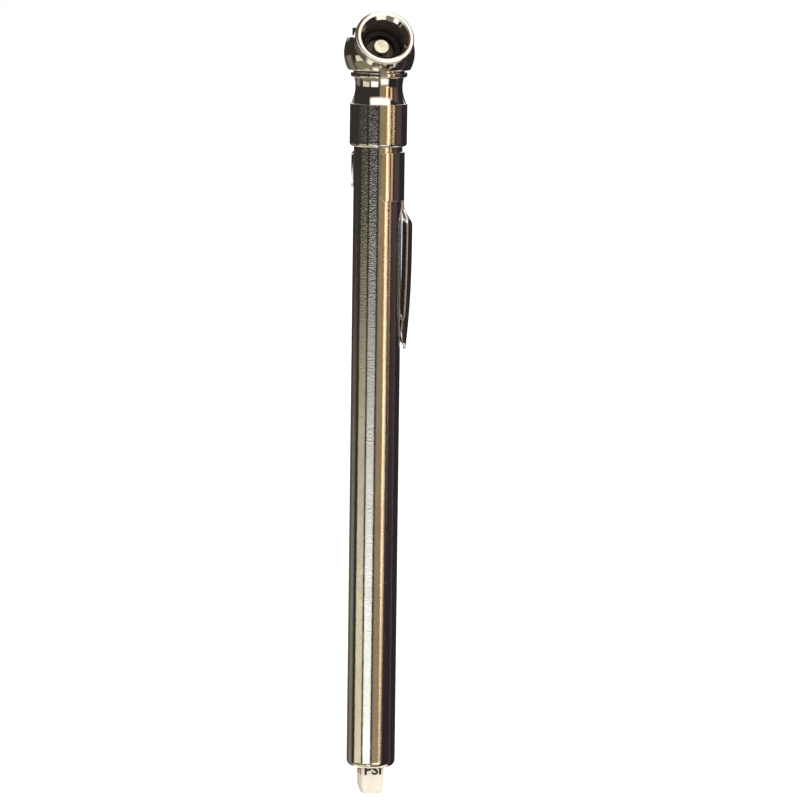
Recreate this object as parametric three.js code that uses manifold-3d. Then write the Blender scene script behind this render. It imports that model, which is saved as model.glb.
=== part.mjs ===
// Pencil-type tyre pressure gauge: ball chuck, barrel with sprung piston, sliding indicator bar, pocket clip.
// Millimetres, +Z up. The barrel's axis is Z, the chuck is at the top and the bar comes out at the bottom.
// The origin is on the barrel's axis, half way up the barrel that shows. The chuck's mouth faces -Y and up.
import * as THREE from 'three';
import * as BufferGeometryUtils from 'three/addons/utils/BufferGeometryUtils.js';
import Module from 'manifold-3d';

const wasm = await Module();
wasm.setup();

// ---------------------------------------------------------------- driving dimensions

const SEGMENTS = 40; // facets round a turned piece
const STACK_GAP = 0.05; // between pieces stacked on one axis
const SEAT_GAP = 0.3; // between pieces seated inside the turned mouth

// Barrel
const BARREL_R = 4.75;
const BARREL_WALL = 0.45;
const BARREL_SHOWN = 121.2; // from the chuck's collar to the barrel's lower end
const BARREL_IN_SOCKET = 6.8;
const BARREL_END_ROUND = 1.3; // the lower end is rolled in

// Chuck body, heights measured up from the collar's lower edge
const SOCKET_CLEARANCE = 0.05;
const COLLAR_WALL = 0.8;
const COLLAR_HEIGHT = 8.3;
const COLLAR_ROUND = 0.6;
const COLLAR_CHAMFER = 0.15;
const COVE_STEP = 0.2; // shoulder between collar and cove
const COVE_DEPTH = 0.8; // how much narrower the waist is than the cove's foot
const WAIST_HEIGHT = 3.2; // above the collar
const COVE_HEIGHT = 5.05;
const COVE_STEPS = 8;
const BEAD_SET_BACK = 0.1; // bead radius below the collar's
const BEAD_HEIGHT = 1.1;
const BEAD_ROUND = 0.3;
const GROOVE_DEPTH = 0.5;
const GROOVE_HEIGHT = 0.3;
const BALL_R = 6.9;
const BALL_HALF_HEIGHT = 3.25; // the ball is cut flat above and below
const BOSS_STEP = 0.79; // from the ball's upper flat's edge in to the boss
const BOSS_HEIGHT = 1.65;
const BOSS_CHAMFER = 0.9;
const BOSS_DOME = 0.25;
const PASSAGE_R = 1.3;
const PASSAGE_TOP = -2; // from the ball's centre

// Mouth, distances measured out from the ball's centre along the mouth's axis
const MOUTH_TILT = 30; // degrees above level
const MOUTH_TURN = 10.5; // degrees from -Y towards +X
const VALVE_BORE_R = 4;
const MOUTH_FLOOR = 0.2;
const MOUTH_RING_FRONT = 4.3;
const MOUTH_RING_WALL = 0.8;
const MOUTH_RING_CHAMFER = 0.25;
const MOUTH_ROOT = 1; // how far the ring reaches back into the ball
const FERRULE_CLEARANCE = 0.1;
const SLEEVE_WALL = 0.5;
const FLANGE_OVERHANG = 0.35;
const RIM_FRONT = 6.8;
const RIM_ROUND = 0.3;
const RIM_CHAMFER = 0.7;
const WASHER_THICKNESS = 1.5;
const WASHER_CLEARANCE = 0.15;
const WASHER_HOLE_R = 2.75;
const PIN_HEAD_R = 1.5;
const PIN_STEM_R = 1;
const PIN_STEM_LENGTH = 1.4;
const PIN_STANDS_OUT = 0.8; // the pin's tip stands out of the washer
const PIN_CLEARANCE = 0.1;
const PIN_TIP_CHAMFER = 0.15;
const PORT_R = 0.65;
const PORT_OFFSET = 2.05; // air port, from the mouth's axis
const PORT_DEPTH = 2.4;

// Indicator bar and what guides it
const BAR_CORNER_R = 0.5;
const BAR_CORNER_STEPS = 3;
const BAR_TO_SPRING = 0.375; // from the bar's corners out to the spring
const BAR_TO_LIP = 0.33; // from the bar's corners out to the barrel's rolled end
const BAR_TURN = 13.4; // degrees about the barrel's axis
const BAR_STANDS_OUT = 5.3;
const BAR_TAPER_HEIGHT = 1.5;
const BAR_TAPER = 0.45;
const BAR_CLEARANCE = 0.15;
const GUIDE_HEIGHT = 5;
const INNER_CLEARANCE = 0.1; // pieces inside the barrel
const DRAG_WASHER_THICKNESS = 0.5;
const DRAG_WASHER_CLEARANCE = 0.06;
const SPRING_SEAT_THICKNESS = 0.6;
const CAP_TO_SPRING = 0.45;
const CAP_HEIGHT = 1.2;
const CAP_STEM_R = 0.8;
const CAP_STEM_LENGTH = 3;

// Piston and spring
const GASKET_THICKNESS = 0.9;
const GASKET_HOLE_R = 2.5;
const CUP_CLEARANCE = 0.05;
const CUP_HEIGHT = 2.6;
const CUP_WALL = 0.7;
const CUP_BASE = 0.9;
const PISTON_HEAD = 1.6;
const SPIGOT_LENGTH = 3.5;
const SPIGOT_CLEARANCE = 0.25;
const SCREW_R = 0.8;
const SCREW_HEAD_R = 1.7;
const SCREW_HEAD_HEIGHT = 0.8;
const SCREW_LENGTH = 3.6;
const WIRE_R = 0.35;
const WIRE_SIDES = 6;
const SPRING_CLEARANCE = 0.25; // from the barrel's bore
const SPRING_PITCH = 4.1;
const END_TURNS = 1.5; // closed turns at each end
const STEPS_PER_TURN = 10;

// Pocket clip, heights measured down from the collar's lower edge
const CLIP_THICKNESS = 0.36;
const CLIP_CLEARANCE = 0.1;
const BAND_TOP = 1;
const BAND_HEIGHT = 9.4;
const BAND_CORNER_R = 1;
const BAND_SHORT_END = 2.2; // the far end is this much shorter
const BAND_SHORTENING = 60; // degrees of band over which it gets shorter
const BAND_START = 7; // degrees from -Y towards +X
const BAND_SPAN = 255;
const BAND_STEP = 7.5; // degrees
const BAND_CORNER_STEPS = [0, 0.1, 0.3, 0.6]; // shares of a round corner
const ARM_MIDDLE = 100; // degrees from -Y towards +X
const ARM_NECK_WIDTH = 2.2;
const ARM_WIDTH = 5;
const ARM_LENGTH = 29; // below the band
const ARM_ROOT = 1.5; // how far the arm reaches up into the band
const ARM_NECK = 0.04; // share of the arm before it starts to rise
const ARM_STAND_OFF = 1.7; // crown above the band
const ARM_SHOULDER = 0.17; // share of the arm that rises to full height
const ARM_CUP = 0.2; // crown above edges = cup x half width squared, in mm
const FOOT_CUP = 0.27;
const FOOT_START = 0.79; // share of the arm where the foot bends in
const FOOT_BLEND = 0.03;
const ARM_TIP_STAND_OFF = 0.65;
const ARM_FALL_POWER = 2.6; // how late the crown comes down towards the tip
const ARM_NARROWING = 0.12; // share of its width that the arm loses on the way down
const TIP_START = 0.86; // share of the arm where the tip starts to round
const TIP_WIDTH = 0.2; // width left at the very tip, as a share
const ARM_SECTIONS = 26;
const ARM_ACROSS = 6; // strips across the arm

// ---------------------------------------------------------------- derived sizes

const BARREL_BORE_R = BARREL_R - BARREL_WALL;
const SPRING_R = BARREL_BORE_R - SPRING_CLEARANCE - WIRE_R; // to the wire's middle
const SPRING_INNER_R = SPRING_R - WIRE_R;
const SPIGOT_R = SPRING_INNER_R - SPIGOT_CLEARANCE;
const CAP_R = SPRING_INNER_R - CAP_TO_SPRING;
const BAR_CORNER_REACH = SPRING_INNER_R - BAR_TO_SPRING; // from the axis to the bar's round corners
const BAR_SIDE = 2 * (BAR_CORNER_R + (BAR_CORNER_REACH - BAR_CORNER_R) / Math.SQRT2);
const BARREL_LIP_R = BAR_CORNER_REACH + BAR_TO_LIP;
const BARREL_BOTTOM = -BARREL_SHOWN / 2;
const COLLAR_BOTTOM = BARREL_SHOWN / 2;
const BARREL_TOP = COLLAR_BOTTOM + BARREL_IN_SOCKET;
const SOCKET_R = BARREL_R + SOCKET_CLEARANCE;
const SOCKET_DEPTH = BARREL_IN_SOCKET + GASKET_THICKNESS + 2 * STACK_GAP;
const COLLAR_R = SOCKET_R + COLLAR_WALL;
const COVE_FOOT_R = COLLAR_R - COVE_STEP;
const BEAD_R = COLLAR_R - BEAD_SET_BACK;
const BEAD_FOOT = COLLAR_HEIGHT + COVE_HEIGHT;
const BALL_FOOT = BEAD_FOOT + BEAD_HEIGHT + GROOVE_HEIGHT;
const BALL_CENTRE = BALL_FOOT + BALL_HALF_HEIGHT; // above the collar's lower edge
const BOSS_R = Math.sqrt(BALL_R ** 2 - BALL_HALF_HEIGHT ** 2) - BOSS_STEP;

const SLEEVE_R = VALVE_BORE_R + SLEEVE_WALL;
const COUNTERBORE_R = SLEEVE_R + FERRULE_CLEARANCE;
const MOUTH_RING_R = COUNTERBORE_R + MOUTH_RING_WALL;
const FLANGE_R = MOUTH_RING_R + FLANGE_OVERHANG;
const WASHER_BACK = MOUTH_FLOOR + SEAT_GAP;
const WASHER_FRONT = WASHER_BACK + WASHER_THICKNESS;
const PIN_TIP = WASHER_FRONT + PIN_STANDS_OUT;

const INNER_R = BARREL_BORE_R - INNER_CLEARANCE;
const GUIDE_BOTTOM = BARREL_BOTTOM + BARREL_END_ROUND;
const DRAG_WASHER_BOTTOM = GUIDE_BOTTOM + GUIDE_HEIGHT + STACK_GAP;
const SPRING_SEAT_BOTTOM = DRAG_WASHER_BOTTOM + DRAG_WASHER_THICKNESS + STACK_GAP;
const SPRING_BOTTOM = SPRING_SEAT_BOTTOM + SPRING_SEAT_THICKNESS + STACK_GAP;
const CUP_TOP = BARREL_TOP - SEAT_GAP;
const PISTON_TOP = CUP_TOP - CUP_HEIGHT - STACK_GAP;
const SPRING_TOP = PISTON_TOP - PISTON_HEAD - STACK_GAP;
const CAP_TOP = SPRING_TOP - SPIGOT_LENGTH;
const BAR_TOP = CAP_TOP - CAP_HEIGHT - STACK_GAP;
const BAR_TIP = BARREL_BOTTOM - BAR_STANDS_OUT;
const CLIP_INNER_R = BARREL_R + CLIP_CLEARANCE;
const CLIP_OUTER_R = CLIP_INNER_R + CLIP_THICKNESS;

// ---------------------------------------------------------------- shape helpers

const degrees = THREE.MathUtils.degToRad;
const point = (r, z) => new THREE.Vector2(r, z);

// Points on an arc of an outline, angles in degrees from the +r direction.
function arc(r, z, radius, from, to, steps = 4) {
  return Array.from({ length: steps + 1 }, (_, i) => {
    const angle = degrees(THREE.MathUtils.lerp(from, to, i / steps));
    return point(r + radius * Math.cos(angle), z + radius * Math.sin(angle));
  });
}

// A solid turned about Z. The outline runs anticlockwise in (r, z), from axis to axis or closed by `ring`.
function turned(outline, segments = SEGMENTS) {
  return new THREE.LatheGeometry(outline, segments).rotateX(Math.PI / 2);
}

function ring(outline) {
  return turned([...outline, outline[0]]);
}

function disc(r, bottom, top) {
  return turned([point(0, bottom), point(r, bottom), point(r, top), point(0, top)]);
}

function flatRing(inner, outer, bottom, top) {
  return ring([point(inner, bottom), point(outer, bottom), point(outer, top), point(inner, top)]);
}

// An outline with square or round corners, centred on the axis.
function roundedSquare(side, corner, Kind = THREE.Shape) {
  const half = side / 2;
  const shape = new Kind();
  for (let quarter = 0; quarter < 4; quarter++) {
    const turn = quarter * Math.PI / 2;
    const reach = Math.SQRT2 * (half - corner);
    const x = reach * Math.cos(turn + Math.PI / 4);
    const y = reach * Math.sin(turn + Math.PI / 4);
    shape.absarc(x, y, corner, turn, turn + Math.PI / 2, false);
  }
  return shape;
}

// A round plate with a square hole for the indicator bar.
function squareHoled(r, clearance, bottom, height) {
  const shape = new THREE.Shape().absarc(0, 0, r, 0, 2 * Math.PI, false);
  shape.holes.push(roundedSquare(BAR_SIDE + 2 * clearance, BAR_CORNER_R, THREE.Path));
  const options = { depth: height, bevelEnabled: false, curveSegments: SEGMENTS / 4 };
  return new THREE.ExtrudeGeometry(shape, options).translate(0, 0, bottom);
}

// A closed skin over sections that all have the same number of points, with both ends capped by a fan.
// Each section runs anticlockwise seen from the last one.
function loft(sections) {
  const count = sections[0].length;
  const corners = sections.flat();
  const triangles = [];
  for (let s = 0; s + 1 < sections.length; s++) {
    for (let i = 0; i < count; i++) {
      const a = s * count + i;
      const b = s * count + (i + 1) % count;
      triangles.push(a, b, b + count, a, b + count, a + count);
    }
  }
  const last = (sections.length - 1) * count;
  for (let i = 1; i + 1 < count; i++) {
    triangles.push(0, i + 1, i, last, last + i, last + i + 1);
  }
  const geometry = new THREE.BufferGeometry().setFromPoints(corners);
  geometry.setIndex(triangles);
  return geometry;
}

// ---------------------------------------------------------------- joins and cuts

function toManifold(geometry) {
  const bare = geometry.clone();
  bare.deleteAttribute('normal');
  bare.deleteAttribute('uv');
  const merged = BufferGeometryUtils.mergeVertices(bare, 1e-5);
  const index = merged.index.array;
  const triVerts = [];
  for (let i = 0; i < index.length; i += 3) {
    const [a, b, c] = index.slice(i, i + 3);
    if (a !== b && b !== c && c !== a) triVerts.push(a, b, c);
  }
  return new wasm.Manifold(new wasm.Mesh({
    numProp: 3,
    vertProperties: new Float32Array(merged.attributes.position.array),
    triVerts: new Uint32Array(triVerts),
  }));
}

function toGeometry(solid) {
  const mesh = solid.getMesh();
  const geometry = new THREE.BufferGeometry();
  geometry.setAttribute('position', new THREE.BufferAttribute(mesh.vertProperties, mesh.numProp));
  geometry.setIndex(new THREE.BufferAttribute(mesh.triVerts, 1));
  return geometry;
}

// ---------------------------------------------------------------- placing

const group = new THREE.Group();

// Distances along +Z of this group run up from the collar's lower edge.
const head = new THREE.Group();
head.position.z = COLLAR_BOTTOM;
group.add(head);

// Distances along +Z of this group run out of the mouth from the ball's centre.
const mouth = new THREE.Group();
mouth.position.z = BALL_CENTRE;
mouth.rotation.set(degrees(90 - MOUTH_TILT), 0, degrees(MOUTH_TURN), 'ZYX');
head.add(mouth);
mouth.updateMatrix();

function add(parent, name, geometry, material) {
  const mesh = new THREE.Mesh(geometry, material);
  mesh.name = name;
  parent.add(mesh);
  return mesh;
}

const metal = (color, roughness) => new THREE.MeshStandardMaterial({ color, roughness, metalness: 1 });
const dull = (color, roughness) => new THREE.MeshStandardMaterial({ color, roughness, metalness: 0 });
const CHROME = metal('#c9c6bd', 0.1);
const CLIP_STEEL = metal('#bfbcb2', 0.15);
const BRASS = metal('#d9c48a', 0.35);
const STEEL = metal('#9a9a9a', 0.4);
const RUBBER = dull('#111111', 0.8);
const FIBRE = dull('#5b3a26', 0.8);
const BAR_PLASTIC = dull('#efe6d2', 0.45);
const GUIDE_PLASTIC = dull('#2a2a2c', 0.5);

// ---------------------------------------------------------------- chuck body

function chuckOutline() {
  const cove = Array.from({ length: COVE_STEPS + 1 }, (_, i) => {
    const up = COVE_HEIGHT * i / COVE_STEPS;
    const bulge = COVE_DEPTH * ((up - WAIST_HEIGHT) / WAIST_HEIGHT) ** 2;
    return point(COVE_FOOT_R - COVE_DEPTH + bulge, COLLAR_HEIGHT + up);
  });
  const beadTop = BEAD_FOOT + BEAD_HEIGHT;
  const flatAngle = THREE.MathUtils.radToDeg(Math.asin(BALL_HALF_HEIGHT / BALL_R));
  const bossFoot = BALL_CENTRE + BALL_HALF_HEIGHT;
  const bossTop = bossFoot + BOSS_HEIGHT + BOSS_CHAMFER;
  return [
    point(0, 0),
    ...arc(COLLAR_R - COLLAR_ROUND, COLLAR_ROUND, COLLAR_ROUND, -90, 0, 3),
    point(COLLAR_R, COLLAR_HEIGHT - COLLAR_CHAMFER),
    point(COLLAR_R - COLLAR_CHAMFER, COLLAR_HEIGHT),
    ...cove,
    ...arc(BEAD_R - BEAD_ROUND, BEAD_FOOT + BEAD_ROUND, BEAD_ROUND, -90, 0, 2),
    ...arc(BEAD_R - BEAD_ROUND, beadTop - BEAD_ROUND, BEAD_ROUND, 0, 90, 2),
    point(BEAD_R - GROOVE_DEPTH, beadTop),
    point(BEAD_R - GROOVE_DEPTH, BALL_FOOT),
    ...arc(0, BALL_CENTRE, BALL_R, -flatAngle, flatAngle, 8),
    point(BOSS_R, bossFoot),
    point(BOSS_R, bossFoot + BOSS_HEIGHT),
    point(BOSS_R - BOSS_CHAMFER, bossTop),
    point(0, bossTop + BOSS_DOME),
  ];
}

function chuckBody() {
  const inMouth = (geometry) => toManifold(geometry.applyMatrix4(mouth.matrix));
  const neckAndBall = toManifold(turned(chuckOutline()));
  const mouthRing = inMouth(turned([
    point(0, -MOUTH_ROOT),
    point(MOUTH_RING_R, -MOUTH_ROOT),
    point(MOUTH_RING_R, MOUTH_RING_FRONT - MOUTH_RING_CHAMFER),
    point(MOUTH_RING_R - MOUTH_RING_CHAMFER, MOUTH_RING_FRONT),
    point(0, MOUTH_RING_FRONT),
  ]));
  const facing = inMouth(disc(FLANGE_R + SEAT_GAP, MOUTH_RING_FRONT, RIM_FRONT + BALL_R));
  const counterbore = inMouth(disc(COUNTERBORE_R, MOUTH_FLOOR, RIM_FRONT));
  const pinHole = inMouth(disc(PIN_STEM_R + PIN_CLEARANCE, -PIN_STEM_LENGTH, MOUTH_FLOOR + SEAT_GAP));
  const port = inMouth(disc(PORT_R, -PORT_DEPTH, MOUTH_FLOOR + SEAT_GAP).translate(0, -PORT_OFFSET, 0));
  const passage = toManifold(disc(PASSAGE_R, 0, BALL_CENTRE + PASSAGE_TOP));
  const socket = toManifold(disc(SOCKET_R, -COLLAR_HEIGHT, SOCKET_DEPTH));
  const cuts = [facing, counterbore, pinHole, port, passage, socket];
  const solid = cuts.reduce((left, cut) => left.subtract(cut), neckAndBall.add(mouthRing));
  return toGeometry(solid);
}

add(head, 'chuck_body', chuckBody(), CHROME);

// ---------------------------------------------------------------- mouth

function ferrule() {
  const flangeBack = MOUTH_RING_FRONT + SEAT_GAP;
  return ring([
    point(VALVE_BORE_R, WASHER_BACK),
    point(SLEEVE_R, WASHER_BACK),
    point(SLEEVE_R, flangeBack),
    point(FLANGE_R, flangeBack),
    ...arc(FLANGE_R - RIM_ROUND, RIM_FRONT - RIM_ROUND, RIM_ROUND, 0, 90, 4),
    point(VALVE_BORE_R + RIM_CHAMFER, RIM_FRONT),
    point(VALVE_BORE_R, RIM_FRONT - RIM_CHAMFER),
  ]);
}

function depressorPin() {
  return turned([
    point(0, WASHER_BACK - PIN_STEM_LENGTH),
    point(PIN_STEM_R, WASHER_BACK - PIN_STEM_LENGTH),
    point(PIN_STEM_R, WASHER_BACK),
    point(PIN_HEAD_R, WASHER_BACK),
    point(PIN_HEAD_R, PIN_TIP - PIN_TIP_CHAMFER),
    point(PIN_HEAD_R - PIN_TIP_CHAMFER, PIN_TIP),
    point(0, PIN_TIP),
  ], SEGMENTS / 2);
}

add(mouth, 'mouth_ferrule', ferrule(), CHROME);
const washer = flatRing(WASHER_HOLE_R, VALVE_BORE_R - WASHER_CLEARANCE, WASHER_BACK, WASHER_FRONT);
add(mouth, 'valve_washer', washer, RUBBER);
add(mouth, 'depressor_pin', depressorPin(), BRASS);

// ---------------------------------------------------------------- barrel and gasket

function barrel() {
  const innerRound = BARREL_END_ROUND - BARREL_WALL;
  const roundR = BARREL_R - BARREL_END_ROUND;
  const roundZ = BARREL_BOTTOM + BARREL_END_ROUND;
  return ring([
    point(BARREL_LIP_R, BARREL_BOTTOM),
    ...arc(roundR, roundZ, BARREL_END_ROUND, -90, 0, 5),
    point(BARREL_R, BARREL_TOP),
    point(BARREL_BORE_R, BARREL_TOP),
    ...arc(roundR, roundZ, innerRound, 0, -90, 4),
    point(BARREL_LIP_R, BARREL_BOTTOM + BARREL_WALL),
  ]);
}

add(group, 'barrel', barrel(), CHROME);
const gasketBottom = BARREL_TOP + STACK_GAP;
const gasket = flatRing(GASKET_HOLE_R, BARREL_R, gasketBottom, gasketBottom + GASKET_THICKNESS);
add(group, 'barrel_gasket', gasket, RUBBER);

// ---------------------------------------------------------------- guide, washers and spring

function springGeometry() {
  const closedPitch = 2 * WIRE_R + STACK_GAP;
  const low = SPRING_BOTTOM + WIRE_R;
  const high = SPRING_TOP - WIRE_R;
  const closed = END_TURNS * closedPitch;
  const wholeTurns = Math.round((high - low) / SPRING_PITCH + END_TURNS);
  const openTurns = wholeTurns - 2 * END_TURNS;
  class Coil extends THREE.Curve {
    getPoint(t, target = new THREE.Vector3()) {
      const turn = t * wholeTurns;
      const open = THREE.MathUtils.clamp((turn - END_TURNS) / openTurns, 0, 1);
      const shut = turn - open * openTurns;
      const z = low + shut * closedPitch + open * (high - low - 2 * closed);
      const angle = 2 * Math.PI * turn;
      return target.set(SPRING_R * Math.cos(angle), SPRING_R * Math.sin(angle), z);
    }
    getPointAt(t, target) {
      return this.getPoint(t, target);
    }
    getTangentAt(t, target) {
      return this.getTangent(t, target);
    }
  }
  const wire = new THREE.Shape().absarc(0, 0, WIRE_R, 0, 2 * Math.PI, false);
  return new THREE.ExtrudeGeometry(wire, {
    extrudePath: new Coil(),
    steps: wholeTurns * STEPS_PER_TURN,
    curveSegments: WIRE_SIDES / 2,
  });
}

const guide = squareHoled(INNER_R, BAR_CLEARANCE, GUIDE_BOTTOM, GUIDE_HEIGHT);
const dragWasher = squareHoled(INNER_R, DRAG_WASHER_CLEARANCE, DRAG_WASHER_BOTTOM, DRAG_WASHER_THICKNESS);
const seatTop = SPRING_SEAT_BOTTOM + SPRING_SEAT_THICKNESS;
const barTurn = degrees(BAR_TURN);
add(group, 'end_guide', guide, GUIDE_PLASTIC).rotation.z = barTurn;
add(group, 'drag_washer', dragWasher, FIBRE).rotation.z = barTurn;
add(group, 'spring_seat', flatRing(SPIGOT_R, INNER_R, SPRING_SEAT_BOTTOM, seatTop), STEEL);
add(group, 'pressure_spring', springGeometry(), STEEL);

// ---------------------------------------------------------------- piston

function pistonHead() {
  const holeR = SCREW_R + PIN_CLEARANCE;
  const bottom = SPRING_TOP + STACK_GAP - SPIGOT_LENGTH;
  return ring([
    point(holeR, bottom),
    point(SPIGOT_R, bottom),
    point(SPIGOT_R, PISTON_TOP - PISTON_HEAD),
    point(INNER_R, PISTON_TOP - PISTON_HEAD),
    point(INNER_R, PISTON_TOP),
    point(holeR, PISTON_TOP),
  ]);
}

function pistonCup() {
  const r = BARREL_BORE_R - CUP_CLEARANCE;
  const holeR = SCREW_R + PIN_CLEARANCE;
  const bottom = PISTON_TOP + STACK_GAP;
  return ring([
    point(holeR, bottom),
    point(r, bottom),
    point(r, CUP_TOP),
    point(r - CUP_WALL / 2, CUP_TOP),
    point(r - CUP_WALL, bottom + CUP_BASE),
    point(holeR, bottom + CUP_BASE),
  ]);
}

function pistonScrew() {
  const underHead = PISTON_TOP + CUP_BASE + 2 * STACK_GAP;
  return turned([
    point(0, underHead - SCREW_LENGTH),
    point(SCREW_R, underHead - SCREW_LENGTH),
    point(SCREW_R, underHead),
    point(SCREW_HEAD_R, underHead),
    point(SCREW_HEAD_R, underHead + SCREW_HEAD_HEIGHT),
    point(0, underHead + SCREW_HEAD_HEIGHT),
  ], SEGMENTS / 2);
}

add(group, 'piston_head', pistonHead(), BRASS);
add(group, 'piston_cup', pistonCup(), RUBBER);
add(group, 'piston_screw', pistonScrew(), STEEL);

// ---------------------------------------------------------------- indicator bar

function indicatorBar() {
  const section = (z, inset) => roundedSquare(BAR_SIDE - 2 * inset, BAR_CORNER_R)
    .extractPoints(BAR_CORNER_STEPS).shape.map((p) => new THREE.Vector3(p.x, p.y, z));
  const solid = loft([
    section(BAR_TIP, BAR_TAPER),
    section(BAR_TIP + BAR_TAPER_HEIGHT, 0),
    section(BAR_TOP, 0),
  ]);
  const stemHole = disc(CAP_STEM_R + PIN_CLEARANCE, BAR_TOP - CAP_STEM_LENGTH - SEAT_GAP, BAR_TOP + SEAT_GAP);
  return toGeometry(toManifold(solid).subtract(toManifold(stemHole)));
}

function barCap() {
  const underCap = BAR_TOP + STACK_GAP;
  return turned([
    point(0, underCap - CAP_STEM_LENGTH),
    point(CAP_STEM_R, underCap - CAP_STEM_LENGTH),
    point(CAP_STEM_R, underCap),
    point(CAP_R, underCap),
    point(CAP_R, underCap + CAP_HEIGHT - STACK_GAP),
    point(0, underCap + CAP_HEIGHT - STACK_GAP),
  ], SEGMENTS / 2);
}

add(group, 'indicator_bar', indicatorBar(), BAR_PLASTIC).rotation.z = barTurn;
add(group, 'bar_cap', barCap(), BRASS);

// ---------------------------------------------------------------- pocket clip

// A point at a radius and an angle in degrees from -Y towards +X.
function polar(r, angle, z) {
  return new THREE.Vector3(r * Math.sin(degrees(angle)), -r * Math.cos(degrees(angle)), z);
}

function clipBand() {
  const top = COLLAR_BOTTOM - BAND_TOP;
  const corner = THREE.MathUtils.radToDeg(BAND_CORNER_R / CLIP_OUTER_R);
  const cornerAngles = BAND_CORNER_STEPS.map((share) => share * corner);
  const middle = [];
  for (let angle = corner; angle < BAND_SPAN - corner; angle += BAND_STEP) middle.push(angle);
  const angles = [...cornerAngles, ...middle, ...cornerAngles.map((a) => BAND_SPAN - a).reverse()];
  return loft(angles.map((angle) => {
    const toEnd = Math.min(1, Math.min(angle, BAND_SPAN - angle) / corner);
    const inset = BAND_CORNER_R * (1 - Math.sqrt(1 - (1 - toEnd) ** 2));
    const slope = THREE.MathUtils.smoothstep(angle, BAND_SPAN - BAND_SHORTENING, BAND_SPAN);
    const shorter = BAND_SHORT_END * slope;
    const high = top - inset;
    const low = top - BAND_HEIGHT + inset + shorter;
    const at = BAND_START + angle;
    return [
      polar(CLIP_OUTER_R, at, low), polar(CLIP_INNER_R, at, low),
      polar(CLIP_INNER_R, at, high), polar(CLIP_OUTER_R, at, high),
    ];
  }));
}

// The arm's section at a share of its length: a strip whose crown stands off the barrel.
function armSection(share) {
  const smooth = THREE.MathUtils.smoothstep;
  const rise = smooth(share, ARM_NECK, ARM_SHOULDER);
  const fall = Math.max(0, (share - ARM_SHOULDER) / (1 - ARM_SHOULDER)) ** ARM_FALL_POWER;
  const standOff = ARM_STAND_OFF * rise - (ARM_STAND_OFF - ARM_TIP_STAND_OFF) * fall;
  const tip = Math.sqrt(Math.max(0, 1 - smooth(share, TIP_START, 1) ** 2));
  const fullWidth = THREE.MathUtils.lerp(ARM_NECK_WIDTH, ARM_WIDTH, rise);
  const half = fullWidth / 2 * (1 - ARM_NARROWING * fall) * Math.max(TIP_WIDTH, tip);
  const bandCup = 1 / (2 * CLIP_OUTER_R);
  const armCup = THREE.MathUtils.lerp(bandCup, ARM_CUP, rise);
  const inFoot = smooth(share, FOOT_START - FOOT_BLEND, FOOT_START + FOOT_BLEND);
  const cup = THREE.MathUtils.lerp(armCup, FOOT_CUP, inFoot);
  const z = COLLAR_BOTTOM - BAND_TOP - BAND_HEIGHT - ARM_LENGTH * share;
  const out = polar(1, ARM_MIDDLE, 0);
  const across = polar(1, ARM_MIDDLE + 90, 0);
  const line = (thickness) => Array.from({ length: ARM_ACROSS + 1 }, (_, i) => {
    const side = half * (2 * i / ARM_ACROSS - 1);
    const radial = CLIP_OUTER_R + standOff - cup * side * side - thickness;
    return out.clone().multiplyScalar(radial).addScaledVector(across, side).setZ(z);
  });
  return [...line(CLIP_THICKNESS), ...line(0).reverse()];
}

function pocketClip() {
  const shares = Array.from({ length: ARM_SECTIONS + 1 }, (_, i) => i / ARM_SECTIONS);
  const root = armSection(0).map((p) => p.clone().setZ(p.z + ARM_ROOT));
  const arm = loft([root, ...shares.map(armSection)]);
  return toGeometry(toManifold(clipBand()).add(toManifold(arm)));
}

add(group, 'pocket_clip', pocketClip(), CLIP_STEEL);

export default group;
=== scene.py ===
"""Pencil tyre pressure gauge: the fine meshes, materials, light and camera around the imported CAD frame."""
from math import asin, cos, degrees, hypot, pi, radians, sin, sqrt
import bmesh
import bpy
from mathutils import Euler, Matrix, Vector


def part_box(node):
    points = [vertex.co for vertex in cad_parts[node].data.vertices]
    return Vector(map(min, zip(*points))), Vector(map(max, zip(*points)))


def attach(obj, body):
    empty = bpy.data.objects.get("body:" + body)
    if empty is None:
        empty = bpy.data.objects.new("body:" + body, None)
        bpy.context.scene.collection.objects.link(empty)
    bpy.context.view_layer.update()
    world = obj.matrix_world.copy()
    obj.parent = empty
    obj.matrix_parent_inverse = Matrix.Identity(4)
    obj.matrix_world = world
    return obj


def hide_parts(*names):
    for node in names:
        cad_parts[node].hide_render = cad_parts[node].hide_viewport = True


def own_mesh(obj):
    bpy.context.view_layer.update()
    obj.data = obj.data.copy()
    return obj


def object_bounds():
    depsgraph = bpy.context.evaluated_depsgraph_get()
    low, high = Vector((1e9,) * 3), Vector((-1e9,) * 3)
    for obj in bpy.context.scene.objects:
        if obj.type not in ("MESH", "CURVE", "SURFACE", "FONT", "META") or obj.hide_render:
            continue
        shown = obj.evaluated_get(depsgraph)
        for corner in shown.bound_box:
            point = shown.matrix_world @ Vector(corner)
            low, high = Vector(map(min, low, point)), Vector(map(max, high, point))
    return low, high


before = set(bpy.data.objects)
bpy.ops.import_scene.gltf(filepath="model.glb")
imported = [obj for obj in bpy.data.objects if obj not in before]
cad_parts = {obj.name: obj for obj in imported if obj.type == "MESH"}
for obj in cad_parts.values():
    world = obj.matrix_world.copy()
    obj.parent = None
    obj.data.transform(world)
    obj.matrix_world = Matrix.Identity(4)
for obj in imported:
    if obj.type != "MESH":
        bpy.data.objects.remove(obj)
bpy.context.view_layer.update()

# ------------------------------------------------------------------ sizes, in metres

MM = 0.001
SIDES = 192  # round a turned piece
CRISP_EDGE = 0.12 * MM  # rounding of the turned parts' sharp corners

barrel_low, barrel_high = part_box("barrel")
BARREL_R = barrel_high.x

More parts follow.
